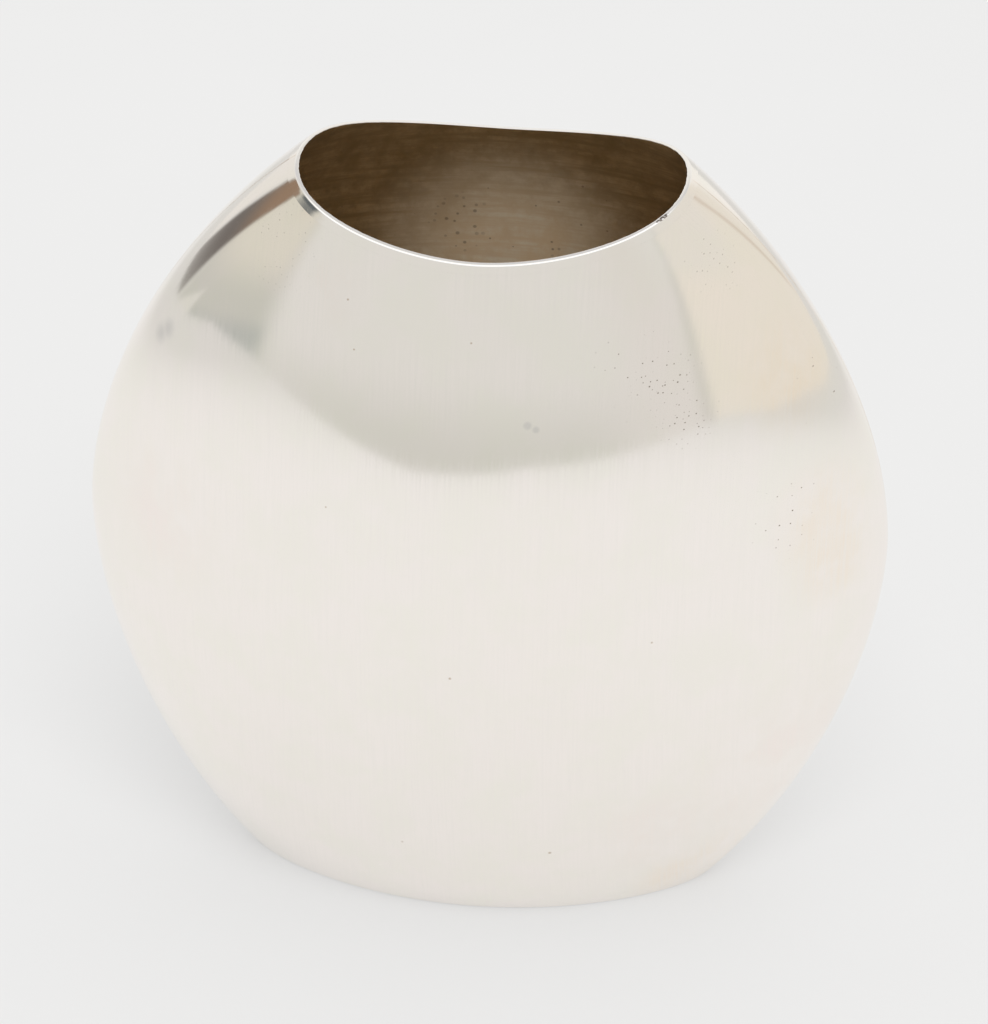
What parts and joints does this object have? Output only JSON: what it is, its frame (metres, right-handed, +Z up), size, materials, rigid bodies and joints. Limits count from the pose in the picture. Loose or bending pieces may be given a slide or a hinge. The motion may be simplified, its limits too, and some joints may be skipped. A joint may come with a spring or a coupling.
{
  "type": "cream jug",
  "caption": "Flattened lens-shaped silver cream jug with a saddle-shaped oval mouth, a flat oval base and no handle.",
  "frame": {"origin": "on the surface the jug stands on, under the middle of its flat base", "axes": "+X across the jug's width, -Y to the front, +Z up"},
  "size_m": [0.0998, 0.054, 0.099],
  "materials": {
    "body_silver": "satin silver, fine upright brushing, warm tarnish",
    "base_silver": "duller satin silver",
    "rim_silver": "polished silver edge"
  },
  "bodies": {
    "root": {"front_shell": "body_silver", "back_shell": "body_silver", "base_plate": "base_silver", "rim_wire": "rim_silver"}
  },
  "joints": []
}
